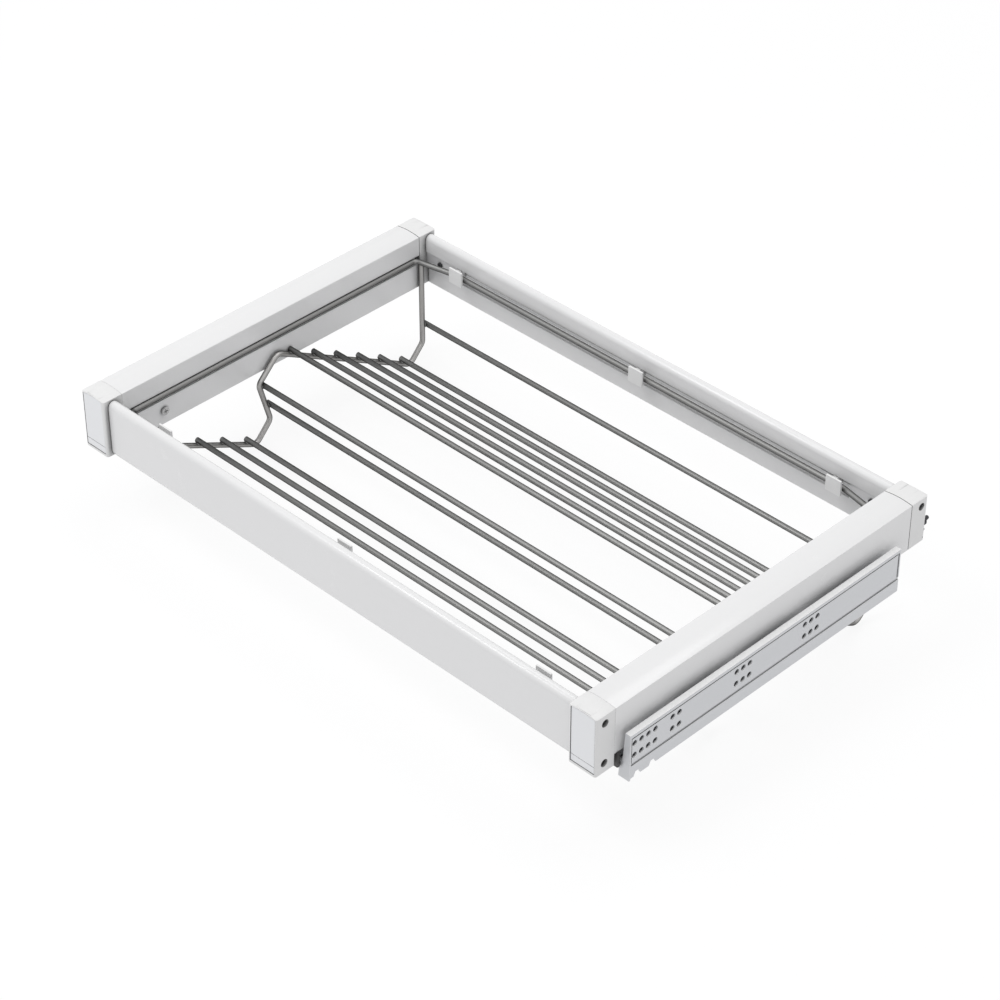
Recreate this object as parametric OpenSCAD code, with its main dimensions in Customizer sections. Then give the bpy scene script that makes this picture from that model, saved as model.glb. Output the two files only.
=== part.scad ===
// Pull-out shoe rack: an aluminium frame with a wire insert on two undermount slides.
// Everything is in millimetres. X runs from the left cabinet wall to the right one, Y to the rear, Z up.
// The origin is the centre of the front screw group on the left cabinet member's wall face.

/* [Opening and frame] */
// Clear width between the cabinet walls
opening_w = 740; // [600:1:1000]
// Gap between each cabinet wall and the frame
side_gap = 12.5; // [12:0.1:13]
// Depth of the frame over its corner blocks
frame_d = 464.5; // [456:0.5:520]

/* [Side rails] */
// Width of a side rail and of a corner block
rail_w = 34; // [33:0.5:40]
// Depth of a side rail's outer face
rail_h = 53.5; // [52:0.5:56]
// Depth of the skirt that hides the slide on the inner side
skirt_h = 62.5; // [60:0.5:65]
// Rise of the crowned top in the middle
crown = 1.6; // [0.8:0.1:3]
// Wall of the side rails
rail_wall = 2; // [1.6:0.1:2.4]
// Drop from the top edge to the groove in the inner face
groove_drop = 23.1; // [22:0.1:23.4]
// Height of the groove
groove_h = 10.2; // [9:0.1:12]
// Depth of the groove
groove_depth = 7; // [5:0.1:8]

/* [Corner blocks] */
// Length of a corner block along the depth
block_l = 24.2; // [22:0.1:30]
// Height of the front corner blocks
front_block_h = 67; // [66:0.5:72]
// Radius of the blocks' outer edges
block_edge_r = 2.6; // [1:0.1:4]
// Width of the inset cap on a front block
cap_w = 29; // [26:0.1:30]
// Drop from the top edge to the cap's bottom
cap_drop = 64; // [60:0.1:65]

/* [Cross rails] */
// Thickness of the front and rear rail
cross_t = 12; // [11:0.1:14]
// Drop from the side rails' top edge to the cross rails' top
cross_top = 2; // [0.5:0.1:4]
// Drop to the front rail's bottom
front_rail_drop = 67; // [64:0.5:72]
// Drop to the rear rail's bottom
rear_rail_drop = 62.5; // [60:0.5:66]
// Setback of the front rail behind the front blocks' faces
front_set = 5.9; // [5:0.1:7]
// Setback of the rear rail before the rear blocks' faces
rear_set = 3.3; // [2:0.1:4]

/* [Wire insert] */
// Diameter of the wires
wire_d = 6; // [5:0.1:6.5]
// Drop from the top edge to the ring wire's centre
ring_drop = 26.5; // [26.2:0.1:28]
// Bend radius of the ring wire's corners
ring_r = 6; // [5:0.1:8]
// Bend radius of the side carriers
carrier_r = 9; // [8:0.1:10]
// Pitch of the shelf wires along the slope
shelf_pitch = 36.6; // [30:0.1:38]
// Number of wires on the rear shelf
rear_wires = 6; // [3:1:6]
// Number of wires on the front shelf
front_wires = 4; // [2:1:4]

/* [Clips] */
// Width of a clip
clip_w = 19; // [15:0.5:28]
// Distance from a side rail's inner face to the outer clips' centre
clip_inset = 59.5; // [50:0.5:100]

/* [Slides] */
// Length of the cabinet member
member_l = 379.7; // [340:0.1:390]
// How far the rack pulls out
travel = 380; // [300:1:380]
// Diameter of the screw holes in the cabinet member
hole_d = 6.4; // [5:0.1:7]
// Height of the cabinet member's web
web_h = 51.3; // [50.8:0.1:52.3]
// Width of the cabinet member's top flange
flange_w = 6.4; // [4:0.1:8]

/* [Hidden] */
$fn = 48;
over = 1;
front_seam = 0.15;
rear_seam = 0.4;
fit = 0.05;

// Frame, worked out from the sizes above
rail_l = frame_d - 2 * block_l;
inner_x = side_gap + rail_w;
crown_r = ((rail_w / 2) * (rail_w / 2) + crown * crown) / (2 * crown);
crown_fn = 360;
groove_bottom = groove_drop + groove_h;
front_face = -block_l;
rear_face = rail_l + block_l;
front_rail_y = front_face + front_set;
rear_rail_y = rear_face - rear_set;

// Screw ports in the side rails
port_bore = 4.1;
port_od = 7.5;
port_web = 1.5;
upper_port = [14, 15];
lower_port = [20, 44];

// Frame screws
screw_d = 4;
head_d = 7.6;
head_h = 3;
recess_w = 1;
recess_l = 4.2;
recess_depth = 1.2;
pass_d = 4.5;
side_bore_d = 8.5;
side_bore_depth = 11;
end_bore_d = 8.4;
end_bore_depth = 5;
screw_bite = 18;
cross_screw_y = 11.4;
rear_cross_screw_y = 9.3;
upper_cross_drop = 9.3;
lower_cross_drop = 56;

// Inset caps
cap_side = 2;
cap_top = 1.6;
cap_pocket = 2;
cap_t = 1.5;
cap_gap = 0.35;
cap_line_drop = 56.5;
cap_line_w = 0.5;
cap_line_depth = 0.3;

// Rear blocks
tongue_w = 4;
slot_rise = 2.8;
slot_h = 1.3;
slot_depth = 3;
slot_w = 7;

// Section of the cross rails, from the outer face inwards
channel_t = 6;
channel_drop = 22;
channel_floor = 43;
lip_t = 8.5;
undercut_in = 1.5;
undercut_w = 3;
undercut_h = 4;
cross_wall = 1.5;
cross_foot_r = 6;
lower_boss_top = 52;

// Connectors in the ends of the channels
connector_gap = 0.2;
connector_face = 1;
connector_in = 12;
connector_screw_x = 22;
connector_screw_drop = 30;
small_screw_d = 3;
small_head_d = 6;
small_head_h = 1.8;
small_recess_w = 0.8;
small_recess_l = 3.4;
small_recess_depth = 0.8;
small_screw_bite = 3;

// Wire insert
ring_gap = 5.5;
ring_jog = 10.5;
ring_behind = 2;
leg_set = 5.6;
ring_side = 0.35;
carrier_in = 4;
weld = 1;
leg_weld = 1.2;
bend_swell = 0.02;
bend_bite = 0.2;
cross_past = 3.5;
leg_drop = 133.4;
foot_drop = 154.4;
foot_run = 19.7;
shelf_run = 190.9;
peak_drop = 46.6;
nose_run = 28;
nose_drop = 74.1;
step_back = 13.7;
step_drop = 124.1;
toe_run = 21.5;
toe_drop = 146.8;
front_rise = 81;
rear_first = 15.1;
front_first = 14.8;
step_first = 3.5;
step_pitch = 29;
stop_drop = 111.1;

// Clips
clip_t = 2.2;
clip_top = 14;
clip_floor = 2.2;
clip_reach = 2.6;
clip_tail_w = 6;
clip_gap = 0.2;
tongue_gap = 0.3;

// Cabinet member
sheet = 1.5;
member_y = 7.5;
web_top = 29.7;
bead_drop = 63.5;
bead_w = 3;
bead_depth = 1;
crease_in = 3.8;
crease_w = 1.2;
crease_depth = 0.8;
end_crease_in = 1.6;
front_crease_w = 0.7;
rear_crease_w = 2.2;
row_drop = 40.9;
row_gap = 13.9;
col_pitch = 9.07;
last_col = 40.4;
grid = 32;
end_low = 3;
end_flare = 8.8;
end_flare_drop = 60.5;
end_belly = 12.6;
end_belly_drop = 68;
end_toe = 13.7;
end_heel = 0.4;
notch_h = 5;
notch_slope = 2.4;
notch_1 = 13;
notch_1_w = 9;
notch_2 = 33.3;
notch_2_w = 9;
notch_in = 4;

// Slide stack, seen from the front
trough_in = 14.5;
trough_w = 17;
trough_h = 8;
floor_rise = 5.5;
roll_gap = 3;
middle_h = 13;
middle_wall = 1.2;
drawer_flange_h = 9.5;
middle_front = 6.5;
middle_short = 19.7;
drawer_front = 8;
drawer_l = 396;
hook_w = 6;
hook_past = 11.9;
pin_d = 5;
pin_h = 7;

// Cages and rolling parts
cage_t = 1.8;
cage_side_h = 5.2;
cage_l = 164;
cage_side_gap = 0.5;
cage_end = 7.5;
roller_d = 2.4;
roller_l = 6.5;
roller_gap = 0.1;
rollers = 6;
balls = 4;
roll_margin = 8;

// Couplings and release levers
plate_y = 3;
plate_t = 3.5;
plate_in = 11;
plate_h = 17.5;
housing_w = 11;
housing_h = 10;
housing_end = 62;
skirt_gap = 0.5;
lug_w = 5.7;
lug_l = 14;
lug_h = 11.5;
lug_gap = 0.3;
coupling_screw_y = 51.8;
coupling_screw_drop = 45.9;
coupling_head_d = 9.2;
coupling_recess_l = 5.2;
coupling_screw_l = 9;
lever_t = 3;
lever_gap = 0.3;
lever_w = 10;
lever_neck = 6;
lever_y = 10;
lever_l = 38;
pivot_y = 28;
pivot_d = 4;
pivot_cap = 0.8;
grip_t = 2.5;
grip_h = 5;
nose_w = 4.8;
nose_l = 4;
nose_h = 5.8;
nose_gap = 0.3;
nose_swing = 1.2;
pocket_l = 10;
pocket_w = 7.5;
pocket_h = 6.2;

// Rear buffers
buffer_in = 6;
buffer_drop = 35.5;
buffer_d = 10;
buffer_flange = 3.5;
buffer_base_d = 6.5;
buffer_tip_d = 4;
buffer_nose = 7.2;
stem_d = 6;
stem_l = 7;
under_in = 4;
under_drop = 43.5;
under_screw_d = 2.5;
under_head_d = 4.6;
under_screw_l = 7;

// Heights of the slide stack, all below the rails' top edge
lower_cage_y = member_y + travel / 4 + cage_end;
upper_cage_y = member_y + middle_front + travel / 4 + cage_end;
trough_floor = web_top + web_h - floor_rise - sheet;
middle_bottom = trough_floor - roll_gap;
middle_top = middle_bottom - middle_h;
drawer_under = middle_top - roll_gap;
middle_x = trough_in + sheet + roll_gap;
middle_w = trough_w - 2 * sheet - 2 * roll_gap;
group_y = last_col - 3 * col_pitch / 2;
group_drop = row_drop + row_gap / 2;

// Ring and carrier centre lines
ring_y0 = front_rail_y + cross_t + ring_gap;
ring_y1 = rear_rail_y - cross_t - ring_gap;
ring_x0 = inner_x + ring_side;
ring_x1 = opening_w - ring_x0;
ring_run = clip_inset - clip_w / 2 + ring_behind - ring_side;
carrier_x = ring_x0 + carrier_in;
carrier_top = ring_drop + wire_d / 2 - leg_weld;
leg_y = ring_y1 - leg_set;
toe_y = leg_y - foot_run - shelf_run - nose_run + step_back - toe_run;
front_leg_y = ring_y0 + leg_set;
carrier = [
    [leg_y, -carrier_top],
    [leg_y, -leg_drop],
    [leg_y - foot_run, -foot_drop],
    [leg_y - foot_run - shelf_run, -peak_drop],
    [leg_y - foot_run - shelf_run - nose_run, -nose_drop],
    [leg_y - foot_run - shelf_run - nose_run + step_back, -step_drop],
    [toe_y, -toe_drop],
    [front_leg_y, front_rise - toe_drop],
    [front_leg_y, -carrier_top]
];

// Placing: pieces are modelled from the left wall, the front joint and the rails' top edge
module placed() {
    translate([0, -group_y, group_drop]) children();
}

module left_side() {
    placed() children();
}

module right_side() {
    translate([opening_w, 0, 0]) mirror([1, 0, 0]) placed() children();
}

module both_sides() {
    left_side() children();
    right_side() children();
}

// Extrudes a section seen from the front along the depth
module along_y(start, length) {
    translate([0, start + length, 0]) rotate([90, 0, 0]) linear_extrude(height = length) children();
}

// Extrudes a section seen from the side across the width
module along_x(start, length) {
    translate([start, 0, 0]) rotate([90, 0, 90]) linear_extrude(height = length) children();
}

// A box given by its least corner and its size
module block_at(corner, size) {
    translate(corner) cube(size);
}

// A screw along +Z with the seat of its head at the origin
module screw(d, l, hd, hh, rw, rl, rd) {
    cylinder(d = d, h = l);
    difference() {
        translate([0, 0, -hh]) cylinder(d = hd, h = hh);
        for (turn = [0, 90]) rotate([0, 0, turn]) {
            block_at([-rl / 2, -rw / 2, -hh - over], [rl, rw, rd + over]);
        }
    }
}

module frame_screw(length) {
    color("silver") screw(screw_d, length, head_d, head_h, recess_w, recess_l, recess_depth);
}

// Side rails
module crowned(width, drop, inset = 0) {
    intersection() {
        translate([inset, -drop]) square([width - 2 * inset, drop + crown]);
        translate([width / 2, crown - crown_r]) circle(r = crown_r - inset, $fn = crown_fn);
    }
}

module rail_section() {
    back = rail_w - groove_depth - rail_wall;
    difference() {
        union() {
            difference() {
                union() {
                    crowned(rail_w, rail_h);
                    translate([rail_w - rail_wall, -skirt_h]) square([rail_wall, skirt_h]);
                }
                polygon([
                    [rail_wall, rail_wall - rail_h],
                    [rail_w - rail_wall, rail_wall - rail_h],
                    [rail_w - rail_wall, -groove_bottom - rail_wall],
                    [back, -groove_bottom - rail_wall],
                    [back, rail_wall - groove_drop],
                    [rail_w - rail_wall, rail_wall - groove_drop],
                    [rail_w - rail_wall, -rail_wall],
                    [rail_wall, -rail_wall]
                ]);
            }
            translate([upper_port[0], -upper_port[1]]) circle(d = port_od);
            translate([upper_port[0] - port_web / 2, -upper_port[1]]) {
                square([port_web, upper_port[1] - rail_wall / 2]);
            }
            translate([lower_port[0], -lower_port[1]]) circle(d = port_od);
            translate([lower_port[0] - port_web / 2, rail_wall / 2 - rail_h]) {
                square([port_web, rail_h - rail_wall / 2 - lower_port[1]]);
            }
        }
        for (port = [upper_port, lower_port]) {
            translate([port[0], -port[1]]) circle(d = port_bore);
        }
        translate([rail_w - groove_depth, -groove_bottom]) square([groove_depth + over, groove_h]);
    }
}

function lug_x() = inner_x - rail_wall - lug_gap - lug_w;

module side_rail() {
    color("whitesmoke") difference() {
        translate([side_gap, 0, 0]) along_y(front_seam, rail_l - front_seam - rear_seam) rail_section();
        block_at(
            [lug_x() - lug_gap, coupling_screw_y - lug_l / 2 - lug_gap, -rail_h - over],
            [lug_w + 2 * lug_gap, lug_l + 2 * lug_gap, rail_wall + 2 * over]
        );
        translate([inner_x - rail_wall - over, coupling_screw_y, -coupling_screw_drop]) {
            rotate([0, 90, 0]) cylinder(d = pass_d, h = rail_wall + 2 * over);
        }
    }
}

// Corner blocks
module plan_rounding() {
    r = block_edge_r;
    translate([side_gap, 0]) {
        translate([r, 0]) square([rail_w - 2 * r, block_l]);
        square([rail_w, block_l - r]);
        for (x = [r, rail_w - r]) translate([x, block_l - r]) circle(r = r);
    }
}

module side_rounding(drop) {
    r = block_edge_r;
    translate([0, -drop]) {
        square([block_l - r, drop + crown]);
        square([block_l, drop + crown - r]);
    }
    translate([block_l - r, crown - r]) circle(r = r);
}

// The block's solid, with its free end at +Y
module corner_solid(drop) {
    intersection() {
        union() {
            translate([side_gap, 0, 0]) along_y(0, block_l) crowned(rail_w, drop);
            translate([inner_x - tongue_w, 0, 0]) along_y(0, block_l) {
                translate([0, -max(drop, skirt_h)]) square([tongue_w, skirt_h / 2]);
            }
        }
        translate([0, 0, -front_block_h - over]) {
            linear_extrude(height = front_block_h + crown + 2 * over) plan_rounding();
        }
        along_x(side_gap, rail_w) side_rounding(front_block_h);
    }
}

module end_screw_holes(bore_start) {
    for (port = [upper_port, lower_port]) {
        translate([side_gap + port[0], -over, -port[1]]) {
            rotate([-90, 0, 0]) cylinder(d = pass_d, h = block_l + 2 * over);
            translate([0, bore_start + over, 0]) {
                rotate([-90, 0, 0]) cylinder(d = end_bore_d, h = block_l + over - bore_start);
            }
        }
    }
}

module side_screw_hole(y, drop) {
    translate([side_gap - over, y, -drop]) rotate([0, 90, 0]) {
        cylinder(d = side_bore_d, h = side_bore_depth + over);
        cylinder(d = pass_d, h = rail_w + 2 * over);
    }
}

module connector_pocket(y) {
    block_at(
        [inner_x - connector_in - connector_gap, y, -channel_floor],
        [connector_in + connector_gap + over, cross_t - channel_t - connector_face + connector_gap,
         channel_floor - channel_drop]
    );
}

module cap_outline(extra) {
    intersection() {
        translate([cap_side - extra, -cap_drop - extra]) {
            square([cap_w + 2 * extra, cap_drop + crown + extra]);
        }
        translate([rail_w / 2, crown - crown_r]) circle(r = crown_r - cap_top + extra, $fn = crown_fn);
    }
}

module front_corner() {
    color("whitesmoke") difference() {
        mirror([0, 1, 0]) difference() {
            corner_solid(front_block_h);
            end_screw_holes(block_l - cap_pocket - end_bore_depth);
        }
        translate([side_gap, 0, 0]) along_y(front_face - over, cap_pocket + over) cap_outline(cap_gap);
        side_screw_hole(front_face + cross_screw_y, upper_cross_drop);
        side_screw_hole(front_face + cross_screw_y, lower_cross_drop);
        connector_pocket(front_rail_y + channel_t - connector_gap / 2);
    }
}

module rear_corner() {
    color("whitesmoke") difference() {
        translate([0, rail_l, 0]) difference() {
            corner_solid(rail_h);
            end_screw_holes(block_l - end_bore_depth);
        }
        side_screw_hole(rear_face - rear_cross_screw_y, upper_cross_drop);
        connector_pocket(rear_rail_y - cross_t + connector_face - connector_gap / 2);
        translate([side_gap + buffer_in, rear_face + over, -buffer_drop]) {
            rotate([90, 0, 0]) cylinder(d = stem_d + 2 * fit, h = stem_l + 2 * over);
        }
        translate([side_gap + under_in, rear_face + over, -under_drop]) {
            rotate([90, 0, 0]) cylinder(d = under_screw_d + 2 * fit, h = under_screw_l + 2 * over);
        }
        translate([middle_x + middle_w / 2, hook_pin_y(), -rail_h - over]) {
            cylinder(d = pin_d + 2 * fit, h = pin_h + 2 * over);
        }
        block_at(
            [side_gap - over, rear_face - slot_depth, slot_rise - rail_h],
            [slot_w + over, slot_depth + over, slot_h]
        );
    }
}

function hook_pin_y() = rail_l + hook_past - hook_w / 2;

module front_cap() {
    color("gainsboro") difference() {
        translate([side_gap, 0, 0]) along_y(front_face + cap_pocket - cap_t, cap_t) cap_outline(0);
        block_at(
            [side_gap, front_face + cap_pocket - cap_t - over, -cap_line_drop],
            [rail_w, cap_line_depth + over, cap_line_w]
        );
    }
}

// Cross rails: the section runs from the outer face inwards and down from the side rails' top edge
module cross_section(drop, bore_y) {
    r = cross_t / 2;
    foot_r = cross_foot_r;
    difference() {
        union() {
            translate([r, -cross_top - r]) circle(r = r);
            translate([0, -channel_drop]) square([cross_t, channel_drop - cross_top - r]);
            translate([0, -channel_floor]) square([channel_t, channel_floor - channel_drop]);
            translate([0, foot_r - drop]) square([lip_t, drop - foot_r - channel_floor]);
            translate([foot_r, foot_r - drop]) circle(r = foot_r);
            translate([foot_r, -drop]) square([lip_t - foot_r, foot_r]);
        }
        translate([foot_r, -drop - over]) square([cross_t, over]);
        translate([lip_t, -drop - over]) square([cross_t, drop + over - channel_floor]);
        translate([cross_t - undercut_in - undercut_w, -channel_drop - over]) {
            square([undercut_w, undercut_h + over]);
        }
        translate([cross_wall, -channel_floor]) {
            square([channel_t - 2 * cross_wall, channel_floor - channel_drop]);
        }
        translate([bore_y, -upper_cross_drop]) circle(d = port_bore);
        translate([bore_y, -lower_cross_drop]) circle(d = port_bore);
        translate([cross_wall, -lower_boss_top + cross_wall / 2]) {
            square([lip_t - 2 * cross_wall, lower_boss_top - channel_floor - cross_wall]);
        }
    }
}

module connector_screw_hole(y) {
    for (x = [inner_x + connector_screw_x, opening_w - inner_x - connector_screw_x]) {
        translate([x, y - cross_wall - over, -connector_screw_drop]) {
            rotate([-90, 0, 0]) cylinder(d = small_screw_d + 2 * fit, h = cross_wall + 2 * over);
        }
    }
}

module front_rail() {
    color("whitesmoke") placed() difference() {
        translate([0, front_rail_y, 0]) {
            along_x(inner_x + rear_seam, opening_w - 2 * inner_x - 2 * rear_seam) {
                cross_section(front_rail_drop, cross_screw_y - front_set);
            }
        }
        connector_screw_hole(front_rail_y + channel_t);
    }
}

module rear_rail() {
    color("whitesmoke") placed() difference() {
        translate([0, rear_rail_y, 0]) mirror([0, 1, 0]) {
            along_x(inner_x + rear_seam, opening_w - 2 * inner_x - 2 * rear_seam) {
                cross_section(rear_rail_drop, rear_cross_screw_y - rear_set);
            }
        }
        connector_screw_hole(rear_rail_y - channel_t + cross_wall);
    }
}

// Connectors: flat bars in the ends of the channels, each with one small screw
module connector(y) {
    length = connector_in + clip_inset - clip_w / 2 - 2 * connector_gap;
    thick = cross_t - channel_t - connector_face - connector_gap;
    color("lightgray") difference() {
        block_at(
            [inner_x - connector_in, y, connector_gap - channel_floor],
            [length, thick, channel_floor - channel_drop - 2 * connector_gap]
        );
        translate([inner_x + connector_screw_x, y - over, -connector_screw_drop]) {
            rotate([-90, 0, 0]) cylinder(d = small_screw_d + 2 * fit, h = thick + 2 * over);
        }
    }
}

module front_connector() {
    connector(front_rail_y + channel_t + connector_gap / 2);
}

module rear_connector() {
    connector(rear_rail_y - cross_t + connector_face + connector_gap / 2);
}

module small_screw() {
    color("dimgray") screw(
        small_screw_d, cross_t - channel_t - connector_face + small_screw_bite,
        small_head_d, small_head_h, small_recess_w, small_recess_l, small_recess_depth
    );
}

module connector_screws() {
    both_sides() {
        translate([inner_x + connector_screw_x, rear_rail_y - cross_t + connector_face + connector_gap / 2,
                   -connector_screw_drop]) rotate([-90, 0, 0]) small_screw();
        translate([inner_x + connector_screw_x, front_rail_y + cross_t - connector_face - connector_gap / 2,
                   -connector_screw_drop]) rotate([90, 0, 0]) small_screw();
    }
}

// Screws of the frame
module side_rail_screws() {
    front_seat = front_face + cap_pocket + end_bore_depth;
    rear_seat = rear_face - end_bore_depth;
    both_sides() for (port = [upper_port, lower_port]) {
        translate([side_gap + port[0], front_seat, -port[1]]) {
            rotate([-90, 0, 0]) frame_screw(screw_bite - front_seat);
        }
        translate([side_gap + port[0], rear_seat, -port[1]]) {
            rotate([90, 0, 0]) frame_screw(rear_seat - rail_l + screw_bite);
        }
    }
}

module cross_rail_screws() {
    seat = side_gap + side_bore_depth;
    length = rail_w - side_bore_depth + screw_bite;
    both_sides() {
        for (drop = [upper_cross_drop, lower_cross_drop]) {
            translate([seat, front_face + cross_screw_y, -drop]) rotate([0, 90, 0]) frame_screw(length);
        }
        translate([seat, rear_face - rear_cross_screw_y, -upper_cross_drop]) {
            rotate([0, 90, 0]) frame_screw(length);
        }
    }
}

module coupling_screws() {
    both_sides() translate([inner_x, coupling_screw_y, -coupling_screw_drop]) {
        rotate([0, -90, 0]) color("silver") screw(
            screw_d, coupling_screw_l, coupling_head_d, head_h,
            recess_w, coupling_recess_l, recess_depth
        );
    }
}

// Rear buffers
module rear_buffer() {
    color([0.13, 0.13, 0.14]) translate([side_gap + buffer_in, rear_face, -buffer_drop]) rotate([-90, 0, 0]) {
        translate([0, 0, -stem_l]) cylinder(d = stem_d, h = stem_l);
        cylinder(d = buffer_d, h = buffer_flange);
        translate([0, 0, buffer_flange]) cylinder(d1 = buffer_base_d, d2 = buffer_tip_d, h = buffer_nose);
    }
}

module buffer_screws() {
    color("dimgray") both_sides() translate([side_gap + under_in, rear_face, -under_drop]) {
        rotate([90, 0, 0]) screw(
            under_screw_d, under_screw_l, under_head_d, small_head_h,
            small_recess_w, under_head_d - 2 * small_recess_w, small_recess_depth
        );
    }
}

// Round wire bent in one plane
function heading(a, b) = atan2(b[1] - a[1], b[0] - a[0]);

function turn_at(p, i) =
    let (a = p[i] - p[i - 1], b = p[i + 1] - p[i])
    atan2(a[0] * b[1] - a[1] * b[0], a * b);

function setback(p, i, r) = i == 0 || i == len(p) - 1 ? 0 : r * tan(abs(turn_at(p, i)) / 2);

// A bend is a hair thicker than the straight wire, whose ends reach a little way into it
module bend(r, angle) {
    side = angle > 0 ? 1 : -1;
    translate([0, side * r, 0]) rotate([0, 0, angle > 0 ? -90 : 90 + angle]) {
        rotate_extrude(angle = abs(angle)) translate([r, 0]) circle(d = wire_d + bend_swell);
    }
}

module straight(start, run, bite_in, bite_out) {
    translate([start - bite_in, 0, 0]) rotate([0, 90, 0]) cylinder(d = wire_d, h = run + bite_in + bite_out);
}

module bent_wire(p, r) {
    last = len(p) - 2;
    for (i = [0 : last]) {
        start = setback(p, i, r);
        run = norm(p[i + 1] - p[i]) - start - setback(p, i + 1, r);
        translate([p[i][0], p[i][1], 0]) rotate([0, 0, heading(p[i], p[i + 1])]) {
            straight(start, run, i > 0 ? bend_bite : 0, i < last ? bend_bite : 0);
            if (i < last) translate([start + run, 0, 0]) bend(r, turn_at(p, i + 1));
        }
    }
}

// A closed ring of round wire
module closed_wire(p, r) {
    q = concat([p[len(p) - 1]], p, [p[0], p[1]]);
    for (i = [1 : len(p)]) {
        start = setback(q, i, r);
        run = norm(q[i + 1] - q[i]) - start - setback(q, i + 1, r);
        translate([q[i][0], q[i][1], 0]) rotate([0, 0, heading(q[i], q[i + 1])]) {
            straight(start, run, bend_bite, bend_bite);
            translate([start + run, 0, 0]) bend(r, turn_at(q, i + 1));
        }
    }
}

// The ring lies close to the cross rails between the outer clips and keeps clear of the corner blocks
module perimeter_wire() {
    near = ring_y0 + ring_jog;
    far = ring_y1 - ring_jog;
    color("gray") placed() translate([0, 0, -ring_drop]) closed_wire([
        [ring_x0 + ring_run, ring_y0],
        [ring_x1 - ring_run, ring_y0],
        [ring_x1, near],
        [ring_x1, far],
        [ring_x1 - ring_run, ring_y1],
        [ring_x0 + ring_run, ring_y1],
        [ring_x0, far],
        [ring_x0, near]
    ], ring_r);
}

module side_wire() {
    color("gray") translate([carrier_x, 0, 0]) rotate([90, 0, 90]) bent_wire(carrier, carrier_r);
}

// A straight wire across the insert, at a depth and a drop
module cross_wire(at, past) {
    color("gray") placed() translate([carrier_x - past, at[0], at[1]]) {
        rotate([0, 90, 0]) cylinder(d = wire_d, h = opening_w - 2 * carrier_x + 2 * past);
    }
}

// Wires laid on a stretch of the carrier, from its first point on
module laid_wires(from, to, side, first, pitch, count, past) {
    dir = (to - from) / norm(to - from);
    out = side * [dir[1], -dir[0]] * (wire_d - weld);
    for (i = [0 : count - 1]) cross_wire(from + dir * (first + pitch * i) + out, past);
}

module rear_shelf_wires() {
    laid_wires(carrier[2], carrier[3], 1, rear_first, shelf_pitch, rear_wires, cross_past);
}

module front_shelf_wires() {
    laid_wires(carrier[6], carrier[7], 1, front_first, shelf_pitch, front_wires, cross_past);
}

module step_wires() {
    laid_wires(carrier[4], carrier[5], -1, step_first, step_pitch, 2, cross_past);
}

module rear_stop_wire() {
    cross_wire([leg_y + wire_d - weld, -stop_drop], cross_past);
}

// Clips: the sections run from the ring wire's centre towards the rail
function clip_wall() = wire_d / 2 + clip_gap;
function clip_front() = clip_wall() + clip_reach + clip_t;
function clip_bottom() = ring_drop + clip_wall() + clip_floor;

module clip_plate() {
    translate([-clip_front(), -clip_bottom()]) square([clip_t, clip_bottom() - clip_top]);
}

// The tail goes under the wire and up into the rail's undercut
module clip_tail() {
    back = ring_gap + cross_t - channel_t - clip_gap;
    tongue = ring_gap + undercut_in + tongue_gap;
    translate([0, -clip_bottom()]) {
        translate([-clip_front(), 0]) square([back + clip_front(), clip_floor]);
        translate([clip_wall(), 0]) square([back - clip_wall(), clip_bottom() - channel_drop - clip_gap]);
        translate([tongue, 0]) {
            square([undercut_w - 2 * tongue_gap, clip_bottom() - channel_drop + undercut_h - tongue_gap]);
        }
    }
}

module clip_row() {
    pitch = opening_w / 2 - inner_x - clip_inset;
    for (i = [-1 : 1]) translate([opening_w / 2 + i * pitch - clip_w / 2, 0, 0]) {
        along_x(0, clip_w) clip_plate();
        along_x(0, clip_tail_w) clip_tail();
    }
}

module rear_clips() {
    color("white") placed() translate([0, ring_y1, 0]) clip_row();
}

module front_clips() {
    color("white") placed() translate([0, ring_y0, 0]) mirror([0, 1, 0]) clip_row();
}

// Cabinet member
module hole_rows(columns) {
    for (y = columns, drop = [row_drop, row_drop + row_gap]) {
        translate([-over, y, -drop]) rotate([0, 90, 0]) cylinder(d = hole_d, h = sheet + 2 * over);
    }
}

module notch(start, width) {
    low = web_top + web_h;
    along_x(-over, notch_in + over) polygon([
        [start, -low - over],
        [start + width, -low - over],
        [start + width, -low],
        [start + width - notch_slope, notch_h - low],
        [start + notch_slope, notch_h - low],
        [start, -low]
    ]);
}

// A frame of creases round the web: along the top edge, down both ends and along the bead below
module web_creases() {
    top = web_top + crease_in;
    front = member_y + end_crease_in;
    rear = member_y + member_l - end_crease_in;
    block_at([-over, front, -top - crease_w], [crease_depth + over, rear - front, crease_w]);
    block_at([-over, member_y + sheet, -bead_drop - bead_w], [bead_depth + over, member_l, bead_w]);
    block_at(
        [-over, front, -bead_drop - over],
        [crease_depth + over, front_crease_w, bead_drop + over - top]
    );
    block_at(
        [-over, rear - rear_crease_w, -bead_drop - over],
        [crease_depth + over, rear_crease_w, bead_drop + over - top]
    );
}

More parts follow.
